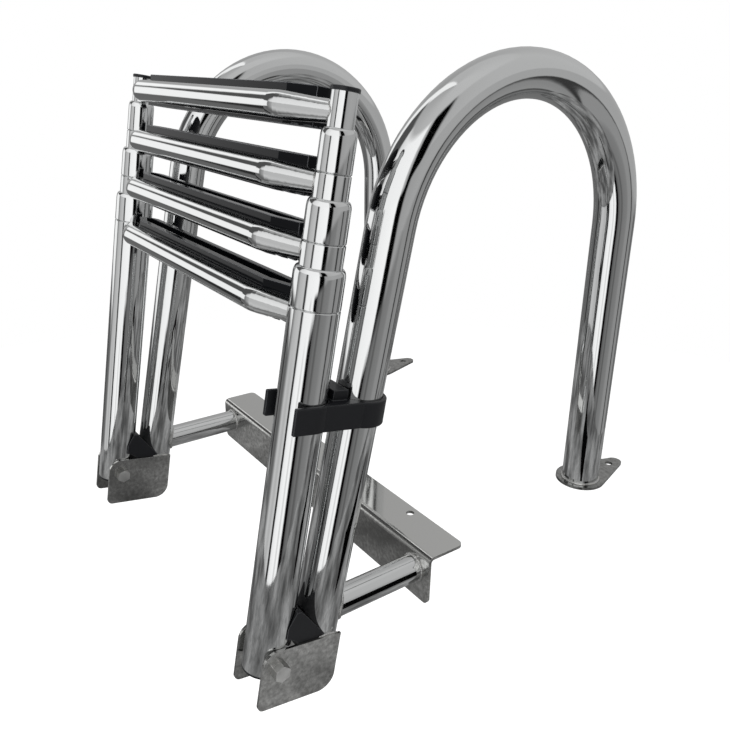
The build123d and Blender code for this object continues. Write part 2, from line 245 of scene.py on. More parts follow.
class WeldSettings(bpy.types.PropertyGroup):
    bead: bpy.props.FloatProperty(
        name="Bead radius", description="Half width of a weld bead", default=1.5 * MM, unit="LENGTH"
    )
    fine_bead: bpy.props.FloatProperty(
        name="Fine bead radius",
        description="Half width of the beads at the rungs",
        default=0.7 * MM,
        unit="LENGTH",
    )
    cope_distance: bpy.props.FloatProperty(
        name="Leg foot",
        description="Distance from the pivot to the leg's slanted foot",
        default=41 * MM,
        unit="LENGTH",
    )
    cope_slope: bpy.props.FloatProperty(
        name="Leg foot slope",
        description="Slant of the leg's foot",
        default=math.radians(46.0),
        unit="ROTATION",
    )
    bracket_top: bpy.props.FloatProperty(
        name="Bracket top",
        description="Height of the cheeks' top edge above the pivot",
        default=17.5 * MM,
        unit="LENGTH",
    )
    bracket_run: bpy.props.FloatProperty(
        name="Bracket bead",
        description="Length of the beads on the cheeks' top edges",
        default=18 * MM,
        unit="LENGTH",
    )
    first_rung: bpy.props.FloatProperty(
        name="First rung",
        description="Height of the lowest rung above the pivot",
        default=285.9 * MM,
        unit="LENGTH",
    )
    rung_pitch: bpy.props.FloatProperty(
        name="Rung pitch",
        description="Distance from rung to rung, stowed",
        default=STOWED_PITCH,
        unit="LENGTH",
    )
    rung_bend: bpy.props.FloatProperty(
        name="Rung bend",
        description="Distance of the rungs' bends from the middle",
        default=132 * MM,
        unit="LENGTH",
    )
    rung_reach: bpy.props.FloatProperty(
        name="Rung reach", description="How far the rungs bow outboard", default=19 * MM, unit="LENGTH"
    )
    rung_end_depth: bpy.props.FloatProperty(
        name="Rung end depth",
        description="Front to back at the flattened ends",
        default=18 * MM,
        unit="LENGTH",
    )
    rung_end_height: bpy.props.FloatProperty(
        name="Rung end height",
        description="Top to bottom at the flattened ends",
        default=15.4 * MM,
        unit="LENGTH",
    )
    ripple: bpy.props.FloatProperty(
        name="Ripple", description="How much the bead swells at each drop", default=0.12, subtype="FACTOR"
    )
    drop: bpy.props.FloatProperty(
        name="Drop spacing",
        description="Distance between drops along the bead",
        default=1.7 * MM,
        unit="LENGTH",
    )


class StageSettings(bpy.types.PropertyGroup):
    camera_place: bpy.props.FloatVectorProperty(
        name="Camera",
        description="Where the camera stands",
        default=(0.62015, -0.39603, 0.41133),
        unit="LENGTH",
    )
    heading: bpy.props.FloatProperty(
        name="Heading", description="Camera heading from +Y", default=math.radians(-54.0), unit="ROTATION"
    )
    tilt: bpy.props.FloatProperty(
        name="Tilt",
        description="Camera tilt above the horizon",
        default=math.radians(-21.85),
        unit="ROTATION",
    )
    roll: bpy.props.FloatProperty(
        name="Roll", description="Camera roll", default=math.radians(1.07), unit="ROTATION"
    )
    lens: bpy.props.FloatProperty(name="Lens", description="Focal length in millimetres", default=36.82)
    floor_colour: bpy.props.StringProperty(name="Floor", description="sRGB hex", default="#ffffff")
    floor_drop: bpy.props.FloatProperty(
        name="Floor drop", description="Height of the frame above the floor", default=1.1, unit="LENGTH"
    )
    floor_reach: bpy.props.FloatProperty(
        name="Floor reach", description="Radius of the floor", default=4.0, unit="LENGTH"
    )
    card_reach: bpy.props.FloatProperty(
        name="Card reach", description="Radius of the stone-grey card", default=0.56, unit="LENGTH"
    )
    card_grain: bpy.props.FloatProperty(
        name="Card grain", description="Size of the card's fine blotches", default=14 * MM, unit="LENGTH"
    )
    card_drifts: bpy.props.FloatProperty(
        name="Card drifts", description="Size of the card's broad shades", default=120 * MM, unit="LENGTH"
    )
    flag_colour: bpy.props.StringProperty(name="Flag", description="sRGB hex", default="#050505")
    flag_height: bpy.props.FloatProperty(
        name="Flag height", description="Half the height of the black flag", default=66 * MM, unit="LENGTH"
    )
    flag_drop: bpy.props.FloatProperty(
        name="Flag drop",
        description="Middle of the flag below the standoff's underside",
        default=40 * MM,
        unit="LENGTH",
    )
    flag_gap: bpy.props.FloatProperty(
        name="Flag gap", description="Distance of the flag from the standoff", default=0.1, unit="LENGTH"
    )
    flag_shift: bpy.props.FloatProperty(
        name="Flag shift",
        description="Middle of the flag past the standoff's end",
        default=0.05,
        unit="LENGTH",
    )


# What the polished tubes mirror all round, as bearings in degrees from the camera
# towards its right, each with the brightness that starts to show there: the room below
# the horizon, round the horizon, along the top of its walls, and its ceiling.
ROOM_LOW = (
    (-180, 0.18),
    (-124, 0.16),
    (-121, 0.03),
    (-116, 0.03),
    (-112, 0.2),
    (-100, 0.15),
    (-92, 0.24),
    (-80, 0.74),
    (-66, 0.6),
    (-54, 0.82),
    (-51, 0.02),
    (-45, 0.02),
    (-42, 1.15),
    (-24, 1.3),
    (-19, 0.85),
    (-14, 1.3),
    (-8, 1.3),
    (-4, 0.0),
    (5, 0.0),
    (8, 0.15),
    (20, 0.22),
    (26, 0.13),
    (33, 0.25),
    (54, 0.28),
    (62, 0.36),
    (80, 0.36),
    (82, 0.05),
    (86, 0.05),
    (90, 0.32),
    (110, 0.36),
    (114, 0.05),
    (120, 0.2),
)
ROOM_MIDDLE = (
    (-180, 0.45),
    (-140, 0.36),
    (-132, 0.12),
    (-128, 1.2),
    (-98, 1.2),
    (-94, 0.2),
    (-80, 0.62),
    (-54, 0.75),
    (-50, 0.05),
    (-45, 0.05),
    (-40, 1.2),
    (4, 1.3),
    (8, 0.0),
    (24, 0.0),
    (30, 0.45),
    (60, 0.5),
    (180, 0.45),
)
ROOM_UPPER = (
    (-180, 0.48),
    (-151, 0.42),
    (-146, 1.2),
    (-136, 1.2),
    (-132, 0.1),
    (-98, 0.1),
    (-90, 0.95),
    (-50, 1.2),
    (5, 1.25),
    (9, 0.6),
    (14, 0.5),
    (17, 0.0),
    (38, 0.0),
    (44, 0.55),
    (72, 0.6),
    (120, 0.62),
    (180, 0.48),
)
ROOM_HIGH = (
    (-180, 0.6),
    (-154, 0.6),
    (-150, 1.2),
    (-132, 1.2),
    (-126, 0.5),
    (0, 0.65),
    (72, 0.68),
    (180, 0.6),
)
# Heights, as the upward part of a direction, between which one list passes into the next
LOW_TO_MIDDLE = (-0.16, -0.11)
MIDDLE_TO_UPPER = (0.24, 0.28)
UPPER_TO_HIGH = (0.78, 0.84)
# Each lamp's place from the ladder's middle and its size, in metres, and its watts
LAMPS = (
    ("key_lamp", (0.5, -1.1, 1.3), 1.0, 14.0),
    ("fill_lamp", (-0.9, 0.9, 1.4), 1.2, 8.0),
)


def polished_steel(settings, name, lines_along):
    """Mirror-polished 316 stainless tube: near-mirror, with faint buffed lines along the tube."""
    material, tree, output = new_material(name)
    place = add_node(tree, "TexCoord").outputs["Object"]
    # Times that a buffed line is longer than it is wide; a real one is finer than the render shows
    slender = 30.0
    stretch = [slender if axis != lines_along else 1.0 for axis in "XYZ"]
    along = add_node(tree, "Mapping", {"Vector": place, "Scale": stretch})
    line_scale = 1 / (slender * settings.polish_line)
    lines = add_node(tree, "TexNoise", {"Vector": along.outputs[0], "Scale": line_scale, "Detail": 3.0})
    # The belt leaves low waves some 28 mm long
    waves = add_node(tree, "TexNoise", {"Vector": place, "Scale": 1 / (28 * MM), "Detail": 1.0})
    # Near-mirror, from the clean strips to the buffed lines
    gloss = add_node(
        tree, "MapRange", {"Value": lines.outputs["Fac"], "To Min": 0.035, "To Max": 0.075}
    )
    edges = add_node(tree, "Bevel", {"Radius": settings.edge}, samples=4)
    wavy = add_node(
        tree,
        "Bump",
        {
            "Height": waves.outputs["Fac"],
            "Strength": 0.35,
            "Distance": 0.3 * MM,
            "Normal": edges.outputs[0],
        },
    )
    buffed = add_node(
        tree,
        "Bump",
        {
            "Height": lines.outputs["Fac"],
            "Strength": 0.12,
            "Distance": 0.03 * MM,
            "Normal": wavy.outputs[0],
        },
    )
    shader = add_node(
        tree,
        "BsdfPrincipled",
        {
            "Base Color": linear_colour(settings.tube_colour),
            "Metallic": 1.0,
            "Roughness": gloss.outputs[0],
            "Normal": buffed.outputs[0],
        },
    )
    tree.links.new(shader.outputs[0], output.inputs["Surface"])
    return material


def plate_steel(settings, name, shade=0.0, film_side=False):
    """Stainless sheet, tumbled to a soft mottle; the side that kept its film has a clean polish."""
    material, tree, output = new_material(name)
    coordinates = add_node(tree, "TexCoord")
    place = coordinates.outputs["Object"]
    # Tumbling media leave marks about 4 mm across, with finer ones in them
    mottle = add_node(
        tree, "TexNoise", {"Vector": place, "Scale": 1 / (4 * MM), "Detail": 6.0, "Roughness": 0.62}
    )
    # Noise keeps near its middle, so its middle third is spread over the whole range
    spread = add_node(
        tree, "MapRange", {"Value": mottle.outputs["Fac"], "From Min": 0.32, "From Max": 0.68}
    )
    tumbled = spread.outputs[0]
    if film_side:
        # Only the faces that look straight up kept it
        facing = add_node(tree, "SeparateXYZ", {"Vector": coordinates.outputs["Normal"]})
        kept = add_node(
            tree, "MapRange", {"Value": facing.outputs["Z"], "From Min": 0.9, "From Max": 0.98}
        )
        clean = {"Factor": kept.outputs[0], "A": tumbled, "B": 1.0}
        tumbled = add_node(tree, "Mix", clean, data_type="FLOAT").outputs["Result"]
    dark, light = (
        tuple(channel * (1 - shade) for channel in linear_colour(code)[:3]) + (1.0,)
        for code in (settings.plate_dark, settings.plate_colour)
    )
    colour = add_node(tree, "Mix", {"Factor": tumbled, "A": dark, "B": light}, data_type="RGBA")
    # Satin in the marks, polished between them
    gloss = add_node(tree, "MapRange", {"Value": tumbled, "To Min": 0.26, "To Max": 0.06})
    edges = add_node(tree, "Bevel", {"Radius": settings.edge}, samples=4)
    dents = add_node(
        tree,
        "Bump",
        {"Height": tumbled, "Strength": 0.2, "Distance": 0.05 * MM, "Normal": edges.outputs[0]},
    )
    shader = add_node(
        tree,
        "BsdfPrincipled",
        {
            "Base Color": colour.outputs["Result"],
            "Metallic": 1.0,
            "Roughness": gloss.outputs[0],
            "Normal": dents.outputs[0],
        },
    )
    tree.links.new(shader.outputs[0], output.inputs["Surface"])
    return material


def bolt_steel(settings):
    """Stainless bolt as it comes off the lathe: bright, with a fine turned grain."""
    material, tree, output = new_material("turned_stainless_bolt")
    place = add_node(tree, "TexCoord").outputs["Object"]
    # Drawn at 1.2 mm, coarser than real turning marks, so that it shows
    grain = add_node(tree, "TexNoise", {"Vector": place, "Scale": 1 / (1.2 * MM), "Detail": 3.0})
    gloss = add_node(tree, "MapRange", {"Value": grain.outputs["Fac"], "To Min": 0.28, "To Max": 0.4})
    edges = add_node(tree, "Bevel", {"Radius": settings.edge}, samples=4)
    shader = add_node(
        tree,
        "BsdfPrincipled",
        {
            "Base Color": linear_colour(settings.bolt_colour),
            "Metallic": 1.0,
            "Roughness": gloss.outputs[0],
            "Normal": edges.outputs[0],
        },
    )
    tree.links.new(shader.outputs[0], output.inputs["Surface"])
    return material


def weld_steel(settings):
    """Brushed-off TIG weld: bright, a little rough, with straw heat tint in places."""
    material, tree, output = new_material("brushed_weld_bead")
    place = add_node(tree, "TexCoord").outputs["Object"]
    # The brush and the heat leave patches about 2 mm across
    grain = add_node(tree, "TexNoise", {"Vector": place, "Scale": 1 / (2 * MM), "Detail": 4.0})
    tint = add_node(
        tree,
        "Mix",
        {
            "Factor": grain.outputs["Fac"],
            "A": linear_colour(settings.tube_colour),
            "B": linear_colour(settings.weld_tint),
        },
        data_type="RGBA",
    )
    rough = add_node(
        tree, "Bump", {"Height": grain.outputs["Fac"], "Strength": 0.4, "Distance": 0.15 * MM}
    )
    shader = add_node(
        tree,
        "BsdfPrincipled",
        {
            "Base Color": tint.outputs["Result"],
            "Metallic": 1.0,
            "Roughness": 0.28,
            "Normal": rough.outputs[0],
        },
    )
    tree.links.new(shader.outputs[0], output.inputs["Surface"])
    return material


def moulded_plastic(settings, name, code, roughness, sheen, painted_highlight):
    """Injection-moulded plastic: the mould's etched grain, and a pale highlight painted along its edges."""
    material, tree, output = new_material(name)
    place = add_node(tree, "TexCoord").outputs["Object"]
    etched = add_node(tree, "TexNoise", {"Vector": place, "Scale": 1 / settings.grain, "Detail": 2.0})
    # The gloss wanders by a fifth, in patches about 20 mm across
    patches = add_node(tree, "TexNoise", {"Vector": place, "Scale": 1 / (20 * MM), "Detail": 2.0})
    gloss = add_node(
        tree,
        "MapRange",
        {"Value": patches.outputs["Fac"], "To Min": roughness * 0.8, "To Max": roughness * 1.2},
    )
    edges = add_node(tree, "Bevel", {"Radius": settings.edge}, samples=6)
    # The rounded and the true direction part only along an edge, where a pale highlight is painted:
    # from 10 degrees the plastic starts to be pale, and from 28 degrees it is as pale as it gets
    true = add_node(tree, "NewGeometry").outputs["True Normal"]
    turn = add_node(tree, "VectorMath", {0: edges.outputs[0], 1: true}, operation="DOT_PRODUCT")
    rim = add_node(
        tree,
        "MapRange",
        {"Value": turn.outputs["Value"], "From Min": 0.985, "From Max": 0.88, "To Max": painted_highlight},
    )
    # Paints the pale edge highlight over the plastic's own colour
    colour = add_node(
        tree,
        "Mix",
        {"Factor": rim.outputs[0], "A": linear_colour(code), "B": linear_colour(settings.highlight_colour)},
        data_type="RGBA",
    )
    bump = add_node(
        tree,
        "Bump",
        {
            "Height": etched.outputs["Fac"],
            "Strength": 0.3,
            "Distance": settings.grain_depth,
            "Normal": edges.outputs[0],
        },
    )
    shader = add_node(
        tree,
        "BsdfPrincipled",
        {
            "Base Color": colour.outputs["Result"],
            "Roughness": gloss.outputs[0],
            "IOR": 1.5,
            "Specular IOR Level": sheen,
            "Normal": bump.outputs[0],
        },
    )
    tree.links.new(shader.outputs[0], output.inputs["Surface"])
    return material


def weld_ring(settings, radius_x, radius_y, bead, surface_height):
    """Rippled bead round the origin in the XY plane, lifted to surface_height(x, y)."""
    bm = bmesh.new()
    section = bmesh.ops.create_circle(bm, segments=BEAD_FACETS, radius=bead)["verts"]
    bmesh.ops.rotate(bm, verts=section, cent=(0, 0, 0), matrix=Matrix.Rotation(math.pi / 2, 3, "X"))
    bmesh.ops.translate(bm, verts=section, vec=(radius_x, 0, 0))
    bmesh.ops.spin(
        bm,
        geom=bm.verts[:] + bm.edges[:],
        cent=(0, 0, 0),
        axis=(0, 0, 1),
        angle=math.tau,
        steps=RING_FACETS,
        use_merge=True,
    )
    drops = round(math.pi * (radius_x + radius_y) / settings.drop)
    for vert in bm.verts:
        turn = math.atan2(vert.co.y, vert.co.x)
        centre = Vector((radius_x * math.cos(turn), radius_x * math.sin(turn), 0))
        swell = 1 + settings.ripple * math.sin(drops * turn)
        vert.co = centre + (vert.co - centre) * swell
        vert.co.y *= radius_y / radius_x
        centre.y *= radius_y / radius_x
        vert.co.z += surface_height(centre.x, centre.y)
    return bm


def weld_run(settings, bead, length):
    """Straight rippled bead along Z with tapered ends, middle at the origin."""
    bm = bmesh.new()
    bmesh.ops.create_uvsphere(bm, u_segments=RUN_SIDES, v_segments=RUN_FACETS, radius=bead)
    for vert in bm.verts:
        along = vert.co.z / bead
        swell = 1 + settings.ripple * math.sin(math.pi * along * length / settings.drop)
        vert.co.x *= swell
        vert.co.y *= swell
        vert.co.z = along * length / 2
    return bm


def flat(x, y):
    """Height function of a flat plate."""
    return 0.0


def on_tube(radius, gradient=0.0):
    """Height function of a tube's side whose axis runs along the ring's y and rises by gradient."""
    return lambda x, y: math.sqrt(max(radius**2 - x**2, 0)) - radius + gradient * y


def turned(origin, outward, upright):
    """Matrix that puts a ring's middle at origin, its z along outward and its y nearest upright."""
    z = outward.normalized()
    x = upright.cross(z).normalized()
    y = z.cross(x)
    axes = Matrix((x, y, z)).transposed().to_4x4()
    return Matrix.Translation(origin) @ axes


class LADDER_OT_polish_tubes(bpy.types.Operator):
    """Polished steel on the tubes, collars, rungs, standoffs and bolts"""

    bl_idname = "ladder.polish_tubes"
    bl_label = "Polish Tubes"

    def execute(self, context):
        settings = context.scene.ladder_steel
        upright = polished_steel(settings, "mirror_polished_tube", "Z")
        across = polished_steel(settings, "mirror_polished_rung", "X")
        level = polished_steel(settings, "mirror_polished_standoff", "Y")
        dress(names_starting("handrail", "rail_", "collar"), upright)
        dress(names_starting("pivot_bolt"), bolt_steel(settings))
        dress(names_starting("rung"), across)
        dress(names_starting("standoff"), level)
        return {"FINISHED"}


class LADDER_OT_turn_collars(bpy.types.Operator):
    """Collars with rounded shoulders at the tops of the three outer pairs of tubes"""

    bl_idname = "ladder.turn_collars"
    bl_label = "Turn Collars"

    def execute(self, context):
        settings = context.scene.ladder_collar
        steel = bpy.data.materials["mirror_polished_tube"]
        for side, sign in SIDES.items():
            for number in (1, 2, 3):
                name = f"collar_{number}_{side}"
                bm = self.turn(settings, self.radius(name), self.radius(f"rail_{number + 1}_{side}"))
                seam = settings.first_seam + (number - 1) * settings.pitch
                foot = Vector((sign * TUBE_X, PIVOT.y, PIVOT.z)) + RAIL_UP * seam
                bm.transform(turned(foot, RAIL_UP, INBOARD))
                collar = make_object(f"rounded_{name}", bm, steel, f"section_{number}")
                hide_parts(name)
        return {"FINISHED"}

    def radius(self, name):
        low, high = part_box(name)
        return (high.x - low.x) / 2

    def turn(self, settings, outer, inner_tube):
        """Ring round the Z axis, standing on the origin, with a rounded shoulder and an eased foot."""
        bore = inner_tube + settings.bore_gap
        # A hair tells one rim from another, and a bevel leaves this much of the top flat
        hair = 0.01 * MM
        land = 0.2 * MM
        bm = bmesh.new()
        corners = ((bore, 0), (outer, 0), (outer, settings.height), (bore, settings.height))
        verts = [bm.verts.new((x, 0, z)) for x, z in corners]
        for start, end in zip(verts, verts[1:] + verts[:1]):
            bm.edges.new((start, end))
        bmesh.ops.spin(
            bm,
            geom=bm.verts[:] + bm.edges[:],
            cent=(0, 0, 0),
            axis=(0, 0, 1),
            angle=math.tau,
            steps=COLLAR_FACETS,
            use_merge=True,
        )
        for height, ease in ((0.0, settings.foot_ease), (settings.height, settings.shoulder)):
            rim = [
                edge
                for edge in bm.edges
                if all(
                    abs(vert.co.z - height) < hair and vert.co.xy.length > outer - hair
                    for vert in edge.verts
                )
            ]
            bmesh.ops.bevel(
                bm,
                geom=rim,
                offset=min(ease, outer - bore - land),
                segments=EDGE_FACETS,
                profile=0.5,
                affect="EDGES",
                material=-1,
            )
        # Draws the shoulder out along the collar, as a spun end has it
        start = settings.height - settings.shoulder - hair
        for vert in bm.verts:
            if vert.co.z > start and vert.co.xy.length > bore + hair:
                depth = settings.height - vert.co.z
                vert.co.z = settings.height - depth * settings.shoulder_stretch
        return bm


class LADDER_OT_finish_plates(bpy.types.Operator):
    """Tumbled sheet on the deck angle, flanges and bracket cheeks"""

    bl_idname = "ladder.finish_plates"
    bl_label = "Finish Plates"

    def execute(self, context):
        settings = context.scene.ladder_steel
        dress(names_starting("bracket"), plate_steel(settings, "tumbled_stainless_plate"))
        dress(["deck_angle"], plate_steel(settings, "bent_stainless_sheet", film_side=True))
        flange = plate_steel(settings, "tumbled_flange_plate", shade=settings.flange_shade)
        dress(names_starting("rear_flange"), flange)
        return {"FINISHED"}


class LADDER_OT_mould_plastics(bpy.types.Operator):
    """Moulded plastics on the treads, clip, blocks, plugs, caps and guides"""

    bl_idname = "ladder.mould_plastics"
    bl_label = "Mould Plastics"

    def execute(self, context):
        settings = context.scene.ladder_plastic
        # The painted edge highlight is strongest on the treads, faint on the clip and caps, and none on the
        # guides
        glossy = moulded_plastic(
            settings,
            "glossy_black_polypropylene",
            settings.tread_colour,
            roughness=0.12,
            sheen=0.08,
            painted_highlight=0.4,
        )
        satin = moulded_plastic(
            settings, "satin_black_nylon", settings.clip_colour, roughness=0.36, sheen=0.3, painted_highlight=0.12
        )
        natural = moulded_plastic(
            settings, "natural_nylon", settings.nylon_colour, roughness=0.5, sheen=0.5, painted_highlight=0.0
        )
        dress(names_starting("tread"), glossy)
        dress(names_starting("stowing_clip", "filler_block", "rail_plug", "rail_cap"), satin)
        dress(names_starting("guides"), natural)
        return {"FINISHED"}


class LADDER_OT_lay_welds(bpy.types.Operator):
    """Weld beads where standoffs, flanges and rungs meet what carries them"""

    bl_idname = "ladder.lay_welds"
    bl_label = "Lay Welds"

    def execute(self, context):
        settings = context.scene.ladder_weld
        steel = weld_steel(context.scene.ladder_steel)
        for side, sign in SIDES.items():
            for name, bm in self.frame_beads(settings, side, sign * TUBE_X):
                make_object(f"{name}_{side}", bm, steel, "frame")
            for number in (1, 2, 3, 4):
                bm = self.rung_bead(settings, number, side, sign)
                name = f"weld_rung_{number}_{side}"
                make_object(name, bm, steel, f"section_{number}")
        return {"FINISHED"}

    def frame_beads(self, settings, side, x):
        """Beads at both ends of the standoff, under the rear leg, and on the bracket's top edges."""
        low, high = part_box(f"standoff_{side}")
        radius = (high.x - low.x) / 2
        height = (high.z + low.z) / 2
        leg_up = Vector((0, math.sin(LEG_LEAN), math.cos(LEG_LEAN)))
        leg_y = LEG_FOOT_Y + height * math.tan(LEG_LEAN)
        up = Vector((0, 0, 1))
        # The standoff against the deck angle, then against the leg
        at_angle = weld_ring(settings, radius, radius, settings.bead, flat)
        at_angle.transform(turned(Vector((x, high.y, height)), Vector((0, -1, 0)), up))
        yield "weld_standoff_angle", at_angle
        leg_front = on_tube(TUBE_RADIUS, math.tan(LEG_LEAN))
        at_leg = weld_ring(settings, radius, radius, settings.bead, leg_front)
        leg_side = leg_y + TUBE_RADIUS / math.cos(LEG_LEAN)
        at_leg.transform(turned(Vector((x, leg_side, height)), Vector((0, 1, 0)), up))
        yield "weld_standoff_leg", at_leg
        # The rear leg on its flange, whose round end lies under it
        foot_low, foot_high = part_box(f"rear_flange_{side}")
        foot_y = foot_low.y + (foot_high.x - foot_low.x) / 2
        foot = weld_ring(settings, TUBE_RADIUS, TUBE_RADIUS, settings.bead, flat)
        foot.transform(Matrix.Translation((x, foot_y, FLANGE_TOP)))
        yield "weld_rear_foot", foot
        # The front leg's foot, which is cut on a slant
        start = Vector((0, LEG_FOOT_Y, 0)) - PIVOT
        start.x = 0
        cut = INBOARD * math.sin(settings.cope_slope) + RAIL_UP * math.cos(settings.cope_slope)
        climb = (settings.cope_distance - start.dot(cut)) / leg_up.dot(cut)
        across = Vector((0, math.cos(LEG_LEAN), -math.sin(LEG_LEAN)))
        fall = across.dot(cut) / leg_up.dot(cut)
        rim = weld_ring(
            settings,
            TUBE_RADIUS,
            TUBE_RADIUS,
            settings.fine_bead,
            lambda x, y: -fall * y,
        )
        rim.transform(turned(Vector((x, LEG_FOOT_Y, 0)) + leg_up * climb, leg_up, across))
        yield "weld_leg_foot", rim
        # Straight beads where the leg passes the cheeks' top edges
        climb = (settings.bracket_top - start.dot(RAIL_UP)) / leg_up.dot(RAIL_UP)
        crossing = Vector((x, LEG_FOOT_Y, 0)) + leg_up * climb
        for name, cheek in (("outer", math.copysign(1, x)), ("inner", -math.copysign(1, x))):
            run = weld_run(settings, settings.bead, settings.bracket_run)
            # In the corner between the tube and the cheek, a little way onto the cheek
            middle = crossing + Vector((cheek * (TUBE_RADIUS + 0.3 * MM), 0, 0))
            run.transform(turned(middle, INBOARD, RAIL_UP))
            yield f"weld_bracket_{name}", run

    def rung_bead(self, settings, number, side, sign):
        """Fine bead where a rung's flattened end meets its section's tube."""
        low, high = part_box(f"rail_{number}_{side}")
        radius = (high.x - low.x) / 2
        rise = settings.first_rung + (number - 1) * settings.rung_pitch
        axis_point = Vector((sign * TUBE_X, PIVOT.y, PIVOT.z)) + RAIL_UP * rise
        to_bend = Vector((-sign * (TUBE_X - settings.rung_bend), 0, 0)) - INBOARD * settings.rung_reach
        to_bend.normalize()
        bead = weld_ring(
            settings,
            settings.rung_end_depth / 2,
            settings.rung_end_height / 2,
            settings.fine_bead,
            on_tube(radius),
        )
        bead.transform(turned(axis_point + to_bend * radius, to_bend, RAIL_UP))
        return bead


class LADDER_OT_set_stage(bpy.types.Operator):
    """Pale floor, soft studio light and the camera at the photograph's angle"""

    bl_idname = "ladder.set_stage"
    bl_label = "Set Stage"

    def execute(self, context):
        settings = context.scene.ladder_stage
        middle = (CAD_LOW + CAD_HIGH) / 2
        self.place_camera(context, settings)
        self.lay_floor(context, settings, middle)
        self.stand_flag(context, settings)
        self.light_world(context, settings)
        self.hang_lamps(context, middle)
        context.scene.view_settings.view_transform = "Standard"
        return {"FINISHED"}

    def place_camera(self, context, settings):
        heading, tilt = settings.heading, settings.tilt
        forward = Vector(
            (math.cos(tilt) * math.sin(heading), math.cos(tilt) * math.cos(heading), math.sin(tilt))
        )
        data = bpy.data.cameras.new("camera")
        data.lens = settings.lens
        # Near enough for close views, in metres
        data.clip_start = 0.01
        camera = bpy.data.objects.new("camera", data)
        camera.location = settings.camera_place
        camera.rotation_mode = "QUATERNION"
        level = forward.to_track_quat("-Z", "Y")
        camera.rotation_quaternion = level @ Quaternion((0, 0, 1), settings.roll)
        context.scene.collection.objects.link(camera)
        context.scene.camera = camera

    def lay_floor(self, context, settings, middle):
        """A white floor that the camera sees, and a stone-grey card that only the metal mirrors."""
        paper, tree, output = new_material("white_floor")
        diffuse = add_node(tree, "BsdfDiffuse", {"Color": linear_colour(settings.floor_colour)})
        # Lifts the paper to white where no shadow falls
        glow = add_node(tree, "Emission", {"Color": (1, 1, 1, 1), "Strength": 0.25})
        both = add_node(tree, "AddShader", {0: diffuse.outputs[0], 1: glow.outputs[0]})
        tree.links.new(both.outputs[0], output.inputs["Surface"])
        # Low enough for the ladder to hang down clear of it, folded out and drawn long
        floor_height = CAD_LOW.z - settings.floor_drop
        floor = self.add_plane(context, "floor", settings.floor_reach, middle, floor_height, paper)
        floor.visible_glossy = False
        stone, tree, output = new_material("stone_ground_card")
        place = add_node(tree, "TexCoord").outputs["Object"]
        blotches = add_node(
            tree,
            "TexNoise",
            {"Vector": place, "Scale": 1 / settings.card_grain, "Detail": 8.0, "Roughness": 0.7},
        )
        drifts = add_node(
            tree, "TexNoise", {"Vector": place, "Scale": 1 / settings.card_drifts, "Detail": 2.0}
        )
        # Broad shades from a tenth to two fifths of white
        broad = add_node(
            tree,
            "MapRange",
            {
                "Value": drifts.outputs["Fac"],
                "From Min": 0.36,
                "From Max": 0.64,
                "To Min": 0.1,
                "To Max": 0.38,
            },
        )
        # Fine ones that take away or add up to 45 in 100
        fine = add_node(
            tree,
            "MapRange",
            {
                "Value": blotches.outputs["Fac"],
                "From Min": 0.3,
                "From Max": 0.7,
                "To Min": 0.55,
                "To Max": 1.45,
            },
        )
        shade = add_node(tree, "Math", {0: broad.outputs[0], 1: fine.outputs[0]}, operation="MULTIPLY")
        glow = add_node(tree, "Emission", {"Color": (1, 1, 1, 1), "Strength": shade.outputs[0]})
        # Clear from below, for the ladder that hangs there
        under = add_node(tree, "NewGeometry").outputs["Backfacing"]
        clear = add_node(tree, "BsdfTransparent")
        card_face = add_node(tree, "MixShader", {0: under, 1: glow.outputs[0], 2: clear.outputs[0]})
        tree.links.new(card_face.outputs[0], output.inputs["Surface"])
        # Just below the brackets
        card_height = CAD_LOW.z - 1.0 * MM
        card = self.add_plane(context, "ground_card", settings.card_reach, middle, card_height, stone)
        self.show_to_metal_only(card)

    def show_to_metal_only(self, card):
        """Leaves a card out of everything but reflections."""
        card.visible_camera = False
        card.visible_diffuse = False
        card.visible_shadow = False
        card.visible_transmission = False

    def stand_flag(self, context, settings):
        """A low black flag beside the standoffs, which draws the dark line along them."""
        cloth, tree, output = new_material("black_flag")
        black = add_node(tree, "BsdfDiffuse", {"Color": linear_colour(settings.flag_colour)})
        tree.links.new(black.outputs[0], output.inputs["Surface"])
        low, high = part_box("standoff_starboard")
        bm = bmesh.new()
        bmesh.ops.create_grid(bm, x_segments=1, y_segments=1, size=0.5)
        # Twice as long as the standoff
        size = Vector((high.y - low.y, settings.flag_height, 1.0))
        bmesh.ops.scale(bm, vec=size * 2, verts=bm.verts)
        upright = Matrix.Rotation(math.pi / 2, 4, "Z") @ Matrix.Rotation(math.pi / 2, 4, "X")
        place = Matrix.Translation(
            (
                high.x + settings.flag_gap,
                high.y + settings.flag_shift,
                low.z - settings.flag_drop,
            )
        )
        bm.transform(place @ upright)
        mesh = bpy.data.meshes.new("standoff_flag")
        bm.to_mesh(mesh)
        bm.free()
        mesh.materials.append(cloth)
        flag = bpy.data.objects.new("standoff_flag", mesh)
        context.scene.collection.objects.link(flag)
        self.show_to_metal_only(flag)

    def add_plane(self, context, name, reach, middle, height, material):
        bm = bmesh.new()
        bmesh.ops.create_circle(bm, cap_ends=True, segments=FLOOR_FACETS, radius=reach)
        bmesh.ops.translate(bm, verts=bm.verts, vec=(middle.x, middle.y, height))
        mesh = bpy.data.meshes.new(name)
        bm.to_mesh(mesh)
        bm.free()
        mesh.materials.append(material)
        plane = bpy.data.objects.new(name, mesh)
        context.scene.collection.objects.link(plane)
        return plane

    def light_world(self, context, settings):
        """White to the camera, soft grey as light, and a room of pale and dark walls to the metal."""
        world = bpy.data.worlds.new("studio")
        world.use_nodes = True
        tree = world.node_tree
        tree.nodes.clear()
        rays = add_node(tree, "LightPath")
        towards = add_node(tree, "TexCoord").outputs["Generated"]
